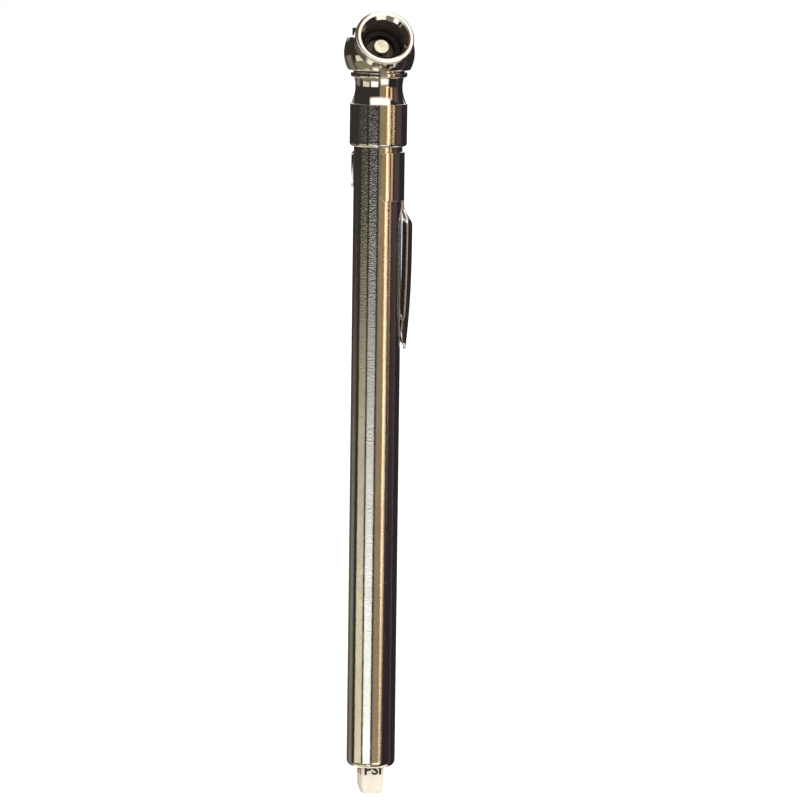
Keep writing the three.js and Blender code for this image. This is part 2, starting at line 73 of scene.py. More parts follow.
chuck_low, chuck_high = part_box("chuck_body")
COLLAR_R = BARREL_R + 0.85 * MM
COLLAR_HEIGHT = 8.3 * MM
BALL_R = chuck_high.x
BALL_HALF_HEIGHT = 3.25 * MM
BALL_CENTRE = 18 * MM  # above the collar's lower edge

MOUTH_TILT, MOUTH_TURN = 30, 10.5  # degrees: above level, and from -Y towards +X
VALVE_BORE_R = 4 * MM
BORE_FLOOR = 0.5 * MM  # this and the next, from the ball's centre along the mouth's axis
RIM_FRONT = 6.8 * MM

TRAVEL = 50 * MM  # of the bar and the piston

head_frame = Matrix.Translation((0, 0, chuck_low.z))
mouth_frame = (
    Matrix.Translation((0, 0, chuck_low.z + BALL_CENTRE))
    @ Matrix.Rotation(radians(MOUTH_TURN), 4, "Z")
    @ Matrix.Rotation(radians(90 - MOUTH_TILT), 4, "X")
)


# ------------------------------------------------------------------ mesh helpers

def lerp(a, b, t):
    return a + (b - a) * t


def arc(r, z, radius, start, end, steps=8):
    """Points of an outline on an arc, angles in degrees from the +r direction."""
    angles = [radians(start + (end - start) * i / steps) for i in range(steps + 1)]
    return [(r + radius * cos(a), z + radius * sin(a)) for a in angles]


def add_object(name, data):
    """Puts a new object with this mesh, curve, light or camera into the scene."""
    obj = bpy.data.objects.new(name, data)
    bpy.context.scene.collection.objects.link(obj)
    return obj


def smooth(obj, angle=30):
    """Shades the mesh smooth, except at edges sharper than angle degrees."""
    mesh = obj.data
    mesh.polygons.foreach_set("use_smooth", [True] * len(mesh.polygons))
    mesh.set_sharp_from_angle(angle=radians(angle))
    return obj


def to_mesh(name, bm):
    mesh = bpy.data.meshes.new(name)
    bm.to_mesh(mesh)
    bm.free()
    return mesh


def evaluated_mesh(obj):
    """The object's mesh with its modifiers applied, or a text object's letters as a mesh."""
    bpy.context.view_layer.update()
    return bpy.data.meshes.new_from_object(obj.evaluated_get(bpy.context.evaluated_depsgraph_get()))


def held(outline, closed, near=0.03 * MM):
    """The outline with a point close to each end of its long sides, so that they shade flat."""
    points = []
    for i, (r, z) in enumerate(outline):
        points.append((r, z))
        if i + 1 == len(outline) and not closed:
            break
        next_r, next_z = outline[(i + 1) % len(outline)]
        length = hypot(next_r - r, next_z - z)
        if length > 8 * near:
            share = near / length
            points += [(lerp(r, next_r, t), lerp(z, next_z, t)) for t in (share, 1 - share)]
    return points


def turned_mesh(name, outline, sides=SIDES):
    """A closed mesh turned about Z.

    The outline runs anticlockwise in (r, z), from axis to axis or round on itself.
    """
    closed = outline[0][0] > 0
    bm = bmesh.new()
    rings = []
    for r, z in held(outline, closed):
        if r == 0:
            rings.append([bm.verts.new((0, 0, z))])
        else:
            angles = (2 * pi * i / sides for i in range(sides))
            rings.append([bm.verts.new((r * cos(a), r * sin(a), z)) for a in angles])
    pairs = list(zip(rings, rings[1:])) + ([(rings[-1], rings[0])] if closed else [])
    for low, high in pairs:
        for i in range(sides):
            j = (i + 1) % sides
            corners = [low[i % len(low)], low[j % len(low)], high[j % len(high)], high[i % len(high)]]
            corners = list(dict.fromkeys(corners))
            if len(corners) > 2:
                bm.faces.new(corners)
    return to_mesh(name, bm)


def disc_mesh(r, low, high, sides=SIDES):
    return turned_mesh("disc", [(0, low), (r, low), (r, high), (0, high)], sides)


def loft_mesh(name, sections):
    """A closed skin over sections with equal numbers of points, with flat ends."""
    bm = bmesh.new()
    rings = [[bm.verts.new(p) for p in section] for section in sections]
    count = len(sections[0])
    for low, high in zip(rings, rings[1:]):
        for i in range(count):
            j = (i + 1) % count
            bm.faces.new((low[i], low[j], high[j], high[i]))
    bm.faces.new(rings[0][::-1])
    bm.faces.new(rings[-1])
    bmesh.ops.recalc_face_normals(bm, faces=bm.faces)
    return to_mesh(name, bm)


def combine(obj, other_mesh, operation, matrix=Matrix.Identity(4)):
    """Joins or cuts obj's mesh with another closed mesh.

    Both are in millimetres meanwhile, because the solver loses small faces in metres.
    """
    to_mm = Matrix.Scale(1 / MM, 4)
    obj.data.transform(to_mm)
    other_mesh.transform(to_mm @ matrix)
    tool = add_object("tool", other_mesh)
    modifier = obj.modifiers.new("combine", "BOOLEAN")
    modifier.operation, modifier.object, modifier.solver = operation, tool, "EXACT"
    mesh = evaluated_mesh(obj)
    obj.modifiers.clear()
    obj.data = mesh
    bpy.data.objects.remove(tool)
    obj.data.transform(Matrix.Scale(MM, 4))


def weld(obj, near=0.001 * MM):
    """Merges the points that the cuts left on top of each other, so the mesh is closed."""
    bm = bmesh.new()
    bm.from_mesh(obj.data)
    bmesh.ops.remove_doubles(bm, verts=bm.verts, dist=near)
    bmesh.ops.dissolve_degenerate(bm, dist=near, edges=bm.edges)
    bm.to_mesh(obj.data)
    bm.free()
    return obj


def coat(obj, material):
    """Makes this the object's only material."""
    obj.data.materials.clear()
    obj.data.materials.append(material)


def place(obj, body, material, slot, *replaced):
    """Gives a finished piece its material and body, and hides the CAD nodes it stands for. The slot argument
    is not used.
    """
    coat(obj, material)
    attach(obj, body)
    if replaced:
        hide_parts(*replaced)


def darken_bore(obj):
    """Gives the faces inside the mouth, behind its chamfer, the dark bore material, which is painted shade
    of the deep recess.
    """
    widest, back, front = VALVE_BORE_R + 0.62 * MM, -1 * MM, RIM_FRONT - 0.78 * MM
    obj.data.materials.append(BORE_SHADE)
    inward = mouth_frame.inverted()
    for face in obj.data.polygons:
        centre = inward @ face.center
        if hypot(centre.x, centre.y) < widest and back < centre.z < front:
            face.material_index = 1


# ------------------------------------------------------------------ materials

class Paint:
    """A material and short ways to add nodes to it."""

    def __init__(self, name):
        self.material = bpy.data.materials.new(name)
        self.material.use_nodes = True
        self.tree = self.material.node_tree
        self.shader = self.tree.nodes["Principled BSDF"]
        self.coords = self.tree.nodes.new("ShaderNodeTexCoord").outputs["Object"]

    def node(self, kind, inputs=None, **settings):
        made = self.tree.nodes.new(kind)
        for key, value in settings.items():
            setattr(made, key, value)
        for key, value in (inputs or {}).items():
            self.feed(made.inputs[key], value)
        return made

    def feed(self, socket, value):
        if isinstance(value, bpy.types.NodeSocket):
            self.tree.links.new(value, socket)
        else:
            socket.default_value = value

    def stretched(self, x, y, z):
        """The coordinates times x, y and z, which stretches a noise along an axis whose number is small."""
        return self.node("ShaderNodeMapping", {"Vector": self.coords, "Scale": (x, y, z)}).outputs["Vector"]

    def noise(self, size, detail=3, vector=None, roughness=0.5):
        """Noise whose features are about size metres across."""
        inputs = {"Vector": vector or self.coords, "Scale": 1 / size, "Detail": detail}
        inputs["Roughness"] = roughness
        return self.node("ShaderNodeTexNoise", inputs).outputs["Fac"]

    def between(self, value, low, high, from_low=0.3, from_high=0.7):
        """low to high as value goes from from_low to from_high, by default about a noise's own range."""
        inputs = {"Value": value, "From Min": from_low, "From Max": from_high}
        inputs |= {"To Min": low, "To Max": high}
        return self.node("ShaderNodeMapRange", inputs, clamp=True).outputs["Result"]

    def mix(self, share, low, high):
        made = self.node("ShaderNodeMix", data_type="RGBA")
        self.feed(made.inputs["Factor"], share)
        self.feed(made.inputs["A"], low)
        self.feed(made.inputs["B"], high)
        return made.outputs["Result"]

    def bump(self, height, depth, normal=None, strength=1.0):
        inputs = {"Height": height, "Distance": depth, "Strength": strength}
        if normal:
            inputs["Normal"] = normal
        return self.node("ShaderNodeBump", inputs).outputs["Normal"]

    def set(self, **values):
        names = {"color": "Base Color", "metallic": "Metallic", "roughness": "Roughness",
                 "normal": "Normal", "specular": "Specular IOR Level"}
        for key, value in values.items():
            self.feed(self.shader.inputs[names[key]], value)
        return self.material


def rgb(red, green, blue):
    """A display colour, 0 to 255, as the linear colour that nodes take."""
    def linear(c):
        c /= 255
        return c / 12.92 if c <= 0.04045 else ((c + 0.055) / 1.055) ** 2.4
    return (linear(red), linear(green), linear(blue), 1)


def plated(name, peel=0.011 * MM, grain=0.0007 * MM, smooth_above=None):
    """Bright nickel plating: a faint orange peel, fine lengthwise draw marks, and dulled, scuffed patches.

    Above the height smooth_above, the peel is a quarter as strong.
    """
    paint = Paint(name)
    patches = paint.noise(6 * MM, 4)
    specks = paint.noise(0.5 * MM, 4, roughness=0.7)
    dull = paint.between(specks, 0, 1, 0.62, 0.75)
    lines = paint.noise(0.25 * MM, 2, paint.stretched(1, 1, 0.05))
    color = paint.mix(paint.between(patches, 0, 1), (0.70, 0.685, 0.65, 1), (0.61, 0.59, 0.55, 1))
    shine = {0: paint.between(patches, 0.035, 0.09), 1: paint.between(dull, 0, 0.06, 0, 1)}
    roughness = paint.node("ShaderNodeMath", shine, operation="ADD").outputs[0]
    strength = 1.0
    if smooth_above is not None:
        up = paint.node("ShaderNodeSeparateXYZ", {0: paint.coords}).outputs["Z"]
        strength = paint.between(up, 1, 0.25, smooth_above - 0.1 * MM, smooth_above + 0.1 * MM)
    normal = paint.bump(paint.noise(0.24 * MM, 2), peel, strength=strength)
    normal = paint.bump(lines, grain, normal)
    return paint.set(color=color, metallic=1.0, roughness=roughness, normal=normal)


def brass(name):
    """Turned brass, slightly tarnished."""
    paint = Paint(name)
    tarnish = paint.noise(1.2 * MM, 4)
    color = paint.mix(paint.between(tarnish, 0, 1), (0.90, 0.85, 0.71, 1), (0.80, 0.72, 0.55, 1))
    return paint.set(color=color, metallic=1.0, roughness=paint.between(tarnish, 0.32, 0.5),
                     normal=paint.bump(paint.noise(0.12 * MM, 3), 0.004 * MM))


def steel(name):
    """Drawn steel, faintly grained."""
    paint = Paint(name)
    drawn = paint.noise(0.2 * MM, 3)
    color = paint.mix(paint.between(drawn, 0, 1), (0.50, 0.49, 0.47, 1), (0.36, 0.35, 0.34, 1))
    return paint.set(color=color, metallic=1.0, roughness=paint.between(drawn, 0.22, 0.38),
                     normal=paint.bump(drawn, 0.004 * MM))


def rubber(name):
    """Matt black rubber with a little dust."""
    paint = Paint(name)
    dust = paint.noise(0.8 * MM, 5)
    dusty = paint.between(dust, 0, 1, 0.4, 0.8)
    color = paint.mix(dusty, (0.012, 0.010, 0.008, 1), (0.024, 0.019, 0.015, 1))
    return paint.set(color=color, roughness=paint.between(dust, 0.65, 0.9),
                     normal=paint.bump(paint.noise(0.15 * MM, 4), 0.01 * MM))


def fibre(name):
    """Pressed brown fibre."""
    paint = Paint(name)
    strands = paint.noise(0.4 * MM, 6, paint.stretched(1, 1, 4))
    color = paint.mix(paint.between(strands, 0, 1), (0.16, 0.08, 0.04, 1), (0.30, 0.17, 0.09, 1))
    return paint.set(color=color, roughness=0.8, normal=paint.bump(strands, 0.03 * MM))


def plastic(name, light, shade, roughness):
    """Moulded plastic or print, mottled between two close colours."""
    paint = Paint(name)
    mottle = paint.noise(2.5 * MM, 5)
    color = paint.mix(paint.between(mottle, 0, 1), light, shade)
    return paint.set(color=color, roughness=paint.between(mottle, roughness, roughness + 0.12),
                     normal=paint.bump(paint.noise(0.3 * MM, 3), 0.006 * MM))


def bare_bore(name):
    """Painted shade for the inside of the mouth: a dark, dull, mottled metal that stands in for the shade
    deep in the bore.
    """
    paint = Paint(name)
    shade_mottle = paint.noise(1.5 * MM, 4)
    color = paint.mix(paint.between(shade_mottle, 0, 1), (0.17, 0.13, 0.10, 1), (0.09, 0.068, 0.052, 1))
    return paint.set(color=color, metallic=0.5, roughness=paint.between(shade_mottle, 0.3, 0.45),
                     normal=paint.bump(paint.noise(0.2 * MM, 3), 0.006 * MM))


PLATE = plated("nickel_plate")
# The dark bore material is painted shade for the inside of the mouth.
BORE_SHADE = bare_bore("bore_painted_shade")
HEAD_PLATE = plated("nickel_plate_head", smooth_above=chuck_low.z + COLLAR_HEIGHT)
CLIP_PLATE = plated("clip_plate", peel=0.002 * MM, grain=0.001 * MM)
BRASS = brass("turned_brass")
STEEL = steel("drawn_steel")
RUBBER = rubber("black_rubber")
FIBRE = fibre("brown_fibre")
IVORY = plastic("ivory_plastic", rgb(238, 230, 214), rgb(228, 214, 192), 0.35)
DARK_PLASTIC = plastic("dark_plastic", rgb(44, 44, 46), rgb(32, 32, 34), 0.45)
BLACK_INK = plastic("black_ink", rgb(30, 24, 24), rgb(46, 38, 36), 0.5)
RED_INK = plastic("red_ink", rgb(176, 60, 52), rgb(196, 92, 80), 0.5)


# ------------------------------------------------------------------ chuck body

def head_outline():
    """Half the chuck's section, from the collar's lower edge at z 0 to the top of the boss."""
    collar_round = 0.6 * MM
    foot, cove_depth = COLLAR_R - 0.2 * MM, 0.8 * MM
    waist, cove_top, cove_steps = 3.2 * MM, 5.05 * MM, 24
    cove = []
    for i in range(cove_steps + 1):
        up = cove_top * i / cove_steps
        cove.append((foot - cove_depth + cove_depth * ((up - waist) / waist) ** 2, COLLAR_HEIGHT + up))
    bead_r, bead_round, bead_height = COLLAR_R - 0.1 * MM, 0.35 * MM, 1.1 * MM
    bead_z = COLLAR_HEIGHT + cove_top
    groove_r = bead_r - 0.5 * MM
    ball_foot = BALL_CENTRE - BALL_HALF_HEIGHT
    fillet = 0.3 * MM
    flat = degrees(asin((BALL_HALF_HEIGHT - fillet) / (BALL_R - fillet)))
    fillet_r = (BALL_R - fillet) * cos(radians(flat))
    boss_r = 5.3 * MM
    boss_z = BALL_CENTRE + BALL_HALF_HEIGHT
    return [
        (0, 0), (COLLAR_R - collar_round, 0),
        *arc(COLLAR_R - collar_round, collar_round, collar_round, -90, 0, 10)[1:],
        *arc(COLLAR_R - CRISP_EDGE, COLLAR_HEIGHT - CRISP_EDGE, CRISP_EDGE, 0, 90, 4),
        *cove,
        *arc(bead_r - bead_round, bead_z + bead_round, bead_round, -80, 0, 6),
        *arc(bead_r - bead_round, bead_z + bead_height - bead_round, bead_round, 0, 90, 6),
        (groove_r, bead_z + bead_height), (groove_r, ball_foot),
        *arc(fillet_r, ball_foot + fillet, fillet, -90, -flat, 6),
        *arc(0, BALL_CENTRE, BALL_R, -flat, flat, 40)[1:-1],
        *arc(fillet_r, boss_z - fillet, fillet, flat, 90, 6),
        *arc(boss_r + 0.25 * MM, boss_z + 0.25 * MM, 0.25 * MM, 270, 180, 5),
        *arc(boss_r - 0.5 * MM, boss_z + 1.4 * MM, 0.5 * MM, 0, 45, 5),
        *arc(boss_r - 1.2 * MM, boss_z + 2.2 * MM, 0.3 * MM, 45, 85, 4),
        (2 * MM, boss_z + 2.72 * MM), (0, boss_z + 2.8 * MM),
    ]


def chuck_body():
    """The turned chuck with the mouth, the air's way and the barrel's socket cut into it."""
    obj = add_object("chuck_body_fine", turned_mesh("chuck", head_outline()))
    obj.data.transform(head_frame)
    ring_r, ring_front, ring_edge = 5.4 * MM, 4.3 * MM, 0.2 * MM
    root_ring = turned_mesh("ring", [
        (0, -1 * MM), (ring_r, -1 * MM),
        *arc(ring_r - ring_edge, ring_front - ring_edge, ring_edge, 0, 90, 5),
        (0, ring_front),
    ])
    facing = disc_mesh(6.05 * MM, ring_front - 0.02 * MM, 14 * MM)
    sleeve_seat = disc_mesh(4.6 * MM, 0.2 * MM, 8 * MM)
    pin_socket = disc_mesh(1.1 * MM, -1.4 * MM, 0.5 * MM, 48)
    air_port = disc_mesh(0.65 * MM, -2.4 * MM, 0.5 * MM, 48)
    air_passage = disc_mesh(1.3 * MM, 0, 16 * MM, 64)
    barrel_socket = disc_mesh(BARREL_R + 0.05 * MM, -2 * MM, 7.8 * MM)
    combine(obj, facing, "DIFFERENCE", mouth_frame)
    combine(obj, root_ring, "UNION", mouth_frame)
    combine(obj, sleeve_seat, "DIFFERENCE", mouth_frame)
    combine(obj, pin_socket, "DIFFERENCE", mouth_frame)
    combine(obj, air_port, "DIFFERENCE", mouth_frame @ Matrix.Translation((0, -2.05 * MM, 0)))
    combine(obj, air_passage, "DIFFERENCE", head_frame)
    combine(obj, barrel_socket, "DIFFERENCE", head_frame)
    place(smooth(weld(obj)), "gauge_body", HEAD_PLATE, "nickel_plate", "chuck_body")
    # Paints the shade inside the mouth as a dark material on the bore's faces.
    darken_bore(obj)


def mouth_piece(name, outline, sides=SIDES, angle=30):
    """A piece turned about the mouth's axis."""
    obj = smooth(add_object(name, turned_mesh(name, outline, sides)), angle)
    obj.data.transform(mouth_frame)
    return obj


def mouth_ferrule():
    """The mouth's flanged lining, with a crowned rim and a small chamfer inside it."""
    flange_back, flange_r = 4.6 * MM, 5.75 * MM
    sleeve_r = 4.5 * MM
    lip, crown, crown_middle = 0.3 * MM, 3 * MM, 5.1 * MM
    outline = [
        (VALVE_BORE_R, BORE_FLOOR), (sleeve_r, BORE_FLOOR), (sleeve_r, flange_back),
        *arc(flange_r - CRISP_EDGE, flange_back + CRISP_EDGE, CRISP_EDGE, -90, 0, 4),
        *arc(flange_r - lip, RIM_FRONT - lip - 0.03 * MM, lip, 0, 78, 8),
        *arc(crown_middle, RIM_FRONT - crown, crown, 82, 98, 8),
        (VALVE_BORE_R + 0.05 * MM, RIM_FRONT - 0.68 * MM), (VALVE_BORE_R, RIM_FRONT - 0.8 * MM),
    ]
    obj = mouth_piece("mouth_ferrule_fine", outline)
    place(obj, "gauge_body", HEAD_PLATE, "nickel_plate", "mouth_ferrule")
    # Paints the shade inside the mouth as a dark material on the bore's faces.
    darken_bore(obj)


def valve_washer():
    """The rubber ring that seals on the valve stem."""
    front, inner, outer = 2.0 * MM, 2.75 * MM, 3.85 * MM
    bead = 0.25 * MM
    outline = [
        (inner, BORE_FLOOR), (outer, BORE_FLOOR),
        *arc(outer - bead, front - bead, bead, 0, 90, 5),
        *arc(inner + bead, front - bead, bead, 90, 180, 5),
    ]
    obj = mouth_piece("valve_washer_fine", outline, 96, 50)
    place(obj, "gauge_body", RUBBER, "black_rubber", "valve_washer")


def depressor_pin():
    """The pin that opens the valve core, on a thinner stem."""
    back, tip, stem_r, r, edge = -0.9 * MM, 2.8 * MM, 1 * MM, 1.5 * MM, 0.14 * MM
    outline = [
        (0, back), (stem_r, back), (stem_r, BORE_FLOOR), (r, BORE_FLOOR),
        *arc(r - edge, tip - edge, edge, 0, 90, 5),
        (0, tip),
    ]
    obj = mouth_piece("depressor_pin_fine", outline, 96, 40)
    place(obj, "gauge_body", BRASS, "brass", "depressor_pin")


# ------------------------------------------------------------------ barrel

def barrel():
    """The tube, its lower end rolled in to a lip."""
    wall, end_round, lip_r = 0.45 * MM, 1.3 * MM, 3.3 * MM
    inner = BARREL_R - wall
    round_r = BARREL_R - end_round
    round_z = barrel_low.z + end_round
    outline = [
        (lip_r, barrel_low.z),
        *arc(round_r, round_z, end_round, -90, 0, 16),
        (BARREL_R, 0), (BARREL_R, barrel_high.z),
        (inner, barrel_high.z), (inner, 0),
        *arc(round_r, round_z, end_round - wall, 0, -90, 10),
        (lip_r, barrel_low.z + wall),
    ]
    obj = smooth(add_object("barrel_fine", turned_mesh("barrel", outline)))
    place(obj, "gauge_body", PLATE, "nickel_plate", "barrel")


# ------------------------------------------------------------------ pocket clip

CLIP_INNER_R = BARREL_R + 0.1 * MM
CLIP_THICKNESS = 0.36 * MM
CLIP_OUTER_R = CLIP_INNER_R + CLIP_THICKNESS
BAND_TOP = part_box("pocket_clip")[1].z
BAND_HEIGHT = 9.4 * MM
BAND_START, BAND_SPAN = 7, 255  # degrees from -Y towards +X, and round from there
BAND_CORNER_R = 1 * MM
BAND_SHORT_END, BAND_SLOPE = 2.2 * MM, 60  # the far end is this much shorter, over these degrees
ARM_MIDDLE = 100  # degrees from -Y towards +X
ARM_NECK_WIDTH, ARM_WIDTH = 2.2 * MM, 5 * MM
ARM_LENGTH = 29 * MM
ARM_NECK, ARM_SHOULDER = 0.04, 0.17  # shares of the arm between which it rises to full height
ARM_STAND_OFF, ARM_TIP_STAND_OFF = 1.7 * MM, 0.65 * MM
ARM_FALL = 2.6  # power of the share with which the arm comes down again to its tip
ARM_NARROWING = 0.12  # share of its width that it loses on the way
ARM_CUP, FOOT_CUP = 200, 270  # crown above edges, as this times the half width squared, per metre
FOOT_START, FOOT_EASE = 0.79, 0.03  # shares of the arm
TIP_START, TIP_BLUNTNESS = 0.86, 0.2  # share of the arm, and of the width that the rounded tip ends with
SHEET_EDGE = 0.1 * MM  # rounding of the sheet's cut edges


def polar(r, angle, z):
    """A point at degrees from -Y towards +X."""
    return Vector((r * sin(radians(angle)), -r * cos(radians(angle)), z))


def smoothstep(value, low, high):
    t = min(1, max(0, (value - low) / (high - low)))
    return t * t * (3 - 2 * t)


def clip_band():
    """The band that grips the barrel, with rounded corners at its two ends."""
    corner_steps, steps = 10, 120
    corner = degrees(BAND_CORNER_R / CLIP_OUTER_R)
    near = [corner * (1 - cos(pi / 2 * i / corner_steps)) for i in range(corner_steps + 1)]
    middle = [corner + (BAND_SPAN - 2 * corner) * i / steps for i in range(1, steps)]
    angles = near + middle + [BAND_SPAN - a for a in reversed(near)]
    sections = []
    for angle in angles:
        to_end = min(1, min(angle, BAND_SPAN - angle) / corner)
        inset = BAND_CORNER_R * (1 - sqrt(max(0, 1 - (1 - to_end) ** 2)))
        shorter = BAND_SHORT_END * smoothstep(angle, BAND_SPAN - BAND_SLOPE, BAND_SPAN)
        high = BAND_TOP - inset
        low = BAND_TOP - BAND_HEIGHT + inset + shorter
        e = SHEET_EDGE
        outline = [
            *arc(CLIP_OUTER_R - e, low + e, e, 0, -90, 3), *arc(CLIP_INNER_R + e, low + e, e, -90, -180, 3),
            *arc(CLIP_INNER_R + e, high - e, e, 180, 90, 3), *arc(CLIP_OUTER_R - e, high - e, e, 90, 0, 3),
        ]
        sections.append([polar(r, BAND_START + angle, z) for r, z in held(outline, closed=True)])
    return loft_mesh("band", sections)


def arm_section(share):
    """The arm's section at a share of its length: a cupped strip whose crown stands off the barrel."""
    rise = smoothstep(share, ARM_NECK, ARM_SHOULDER)
    fall = max(0, (share - ARM_SHOULDER) / (1 - ARM_SHOULDER)) ** ARM_FALL
    stand_off = ARM_STAND_OFF * rise - (ARM_STAND_OFF - ARM_TIP_STAND_OFF) * fall
    tip = sqrt(max(0, 1 - smoothstep(share, TIP_START, 1) ** 2))
    half = lerp(ARM_NECK_WIDTH, ARM_WIDTH, rise) / 2 * (1 - ARM_NARROWING * fall) * max(TIP_BLUNTNESS, tip)
    cup = lerp(1 / (2 * CLIP_OUTER_R), ARM_CUP, rise)
    cup = lerp(cup, FOOT_CUP, smoothstep(share, FOOT_START - FOOT_EASE, FOOT_START + FOOT_EASE))
    z = BAND_TOP - BAND_HEIGHT - ARM_LENGTH * share
    out, along = polar(1, ARM_MIDDLE, 0), polar(1, ARM_MIDDLE + 90, 0)

    def at(side, depth):
        crown = CLIP_OUTER_R + stand_off - cup * side * side
        return out * (crown - depth) + along * side + Vector((0, 0, z))

    e, t = SHEET_EDGE, CLIP_THICKNESS
    across, round_edge = 20, 3
    flat = half - e
    sides = [flat * (2 * i / across - 1) for i in range(across + 1)]
    turns = [pi / 2 * i / round_edge for i in range(1, round_edge + 1)]
    curl = [(e * sin(a), e * (1 - cos(a))) for a in turns]
    top = [at(side, 0) for side in sides]
    bottom = [at(side, t) for side in reversed(sides)]
    right = [at(flat + x, d) for x, d in curl] + [at(flat + x, t - d) for x, d in reversed(curl)]
    left = [at(-flat - x, t - d) for x, d in curl] + [at(-flat - x, d) for x, d in reversed(curl)]
    return top + right + bottom + left


def pocket_clip():
    """The clip's band, with the arm starting inside its sheet."""
    steps, overlap = 120, 1.5 * MM
    obj = add_object("pocket_clip_fine", clip_band())
    root = [p + Vector((0, 0, overlap)) for p in arm_section(0)]
    arm = loft_mesh("arm", [root] + [arm_section(i / steps) for i in range(steps + 1)])
    combine(obj, arm, "UNION")
    place(smooth(obj, 40), "clip", CLIP_PLATE, "clip_plate", "pocket_clip")


# ------------------------------------------------------------------ indicator bar

BAR_TURN = 13.4  # degrees about the barrel's axis
BAR_SIDE = 4.5 * MM
BAR_CORNER_R = 0.5 * MM
BAR_TAPER_HEIGHT, BAR_TAPER = 1.5 * MM, 0.45 * MM
BAR_TIP_EDGE = 0.15 * MM
PRINT_HEIGHT = 0.004 * MM  # of the print above the plastic
bar_low, bar_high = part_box("indicator_bar")


def rounded_square(side, corner, z, steps=6):
    """A level ring of points round a square with rounded corners."""
    centre = side / 2 - corner
    ring = []
    for cx, cy, start in ((1, 1, 0), (-1, 1, 90), (-1, -1, 180), (1, -1, 270)):
        ring += arc(cx * centre, cy * centre, corner, start, start + 90, steps)
    return [Vector((x, y, z)) for x, y in ring]


def indicator_bar():
    """The square bar, tapered and rounded at its tip, with a hole in its upper end for the cap's stem."""
    taper_top = bar_low.z + BAR_TAPER_HEIGHT
    sections = []
    for angle in (0, pi / 6, pi / 3, pi / 2):
        inset = BAR_TAPER + BAR_TIP_EDGE * (1 - sin(angle))
        sections.append((inset, bar_low.z + BAR_TIP_EDGE * (1 - cos(angle))))
    sections += [(BAR_TAPER * 0.04, taper_top - 0.1 * MM), (0, taper_top + 0.1 * MM), (0, bar_high.z)]
    loops = [rounded_square(BAR_SIDE - 2 * inset, BAR_CORNER_R, z) for inset, z in sections]
    obj = add_object("indicator_bar_fine", loft_mesh("bar", loops))
    stem_hole = disc_mesh(0.9 * MM, bar_high.z - 3.3 * MM, bar_high.z + 1 * MM, 48)
    combine(obj, stem_hole, "DIFFERENCE")
    obj.data.transform(Matrix.Rotation(radians(BAR_TURN), 4, "Z"))
    place(smooth(obj), "indicator", IVORY, "ivory_plastic", "indicator_bar")


def face_frame(face, z):
    """A frame on one of the bar's faces, x across it and y up the bar. Face 0 looks along -Y."""
    turn = Matrix.Rotation(radians(BAR_TURN + 90 * face), 4, "Z")
    return turn @ Matrix.Translation((0, -BAR_SIDE / 2 - PRINT_HEIGHT, z)) @ Matrix.Rotation(pi / 2, 4, "X")


def printed(name, face, material, marks):
    """One object of printed marks on a face of the bar.

    A mark is (text or None, x, height above the tip, size x, size y). Without a text it is a line.
    """
    bm = bmesh.new()
    for text, x, up, wide, high in marks:
        where = face_frame(face, bar_low.z + up) @ Matrix.Translation((x, 0, 0))
        if text is None:
            corners = [(-wide / 2, 0), (wide / 2, 0), (wide / 2, high), (-wide / 2, high)]
            bm.faces.new([bm.verts.new(where @ Vector((cx, cy, 0))) for cx, cy in corners])
            continue
        curve = bpy.data.curves.new("print", "FONT")
        curve.body, curve.size, curve.align_x = text, 1, "CENTER"
        curve.resolution_u, curve.offset = 4, 0.03
        letters = add_object("print", curve)
        shaped = evaluated_mesh(letters)
        shaped.transform(where @ Matrix.Diagonal((wide, high, 1, 1)))
        bm.from_mesh(shaped)
        bpy.data.objects.remove(letters)
    obj = add_object(name, to_mesh(name, bm))
    coat(obj, material)
    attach(obj, "indicator")


def scale_marks(unit, first, last, numbered, small, size):
    """A scale up the bar: the unit near the tip, then a line for each small step, and numbers."""
    unit_up, first_up, span = 3.9 * MM, 6 * MM, TRAVEL - 4 * MM
    marks = [(unit, 0, unit_up, size * 1.7, size * 1.5)]
    for value in range(first, last + 1, small):
        up = first_up + span * (value - first) / (last - first)
        if value % numbered == 0:
            marks.append((None, 0, up, BAR_SIDE * 0.72, 0.16 * MM))
            marks.append((str(value), 0, up + 0.4 * MM, size * 0.9, size * 0.9))
        else:
            marks.append((None, -BAR_SIDE * 0.22, up, BAR_SIDE * 0.28, 0.11 * MM))
    return marks


def bar_scales():
    """One scale on each face, so that both can be read from either side."""
    psi = scale_marks("PSI", 10, 50, 10, 1, 1.75 * MM)
    kpa = scale_marks("kPa", 70, 350, 70, 7, 1.5 * MM)
    for end, psi_face, kpa_face in (("", 0, 3), ("_back", 2, 1)):
        printed("scale_psi" + end, psi_face, BLACK_INK, psi)
        printed("scale_kpa" + end, kpa_face, RED_INK, kpa)


# ------------------------------------------------------------------ spring

SPRING_LOW, SPRING_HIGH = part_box("pressure_spring")[0].z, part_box("pressure_spring")[1].z
WIRE_R, SPRING_R = 0.35 * MM, 3.7 * MM


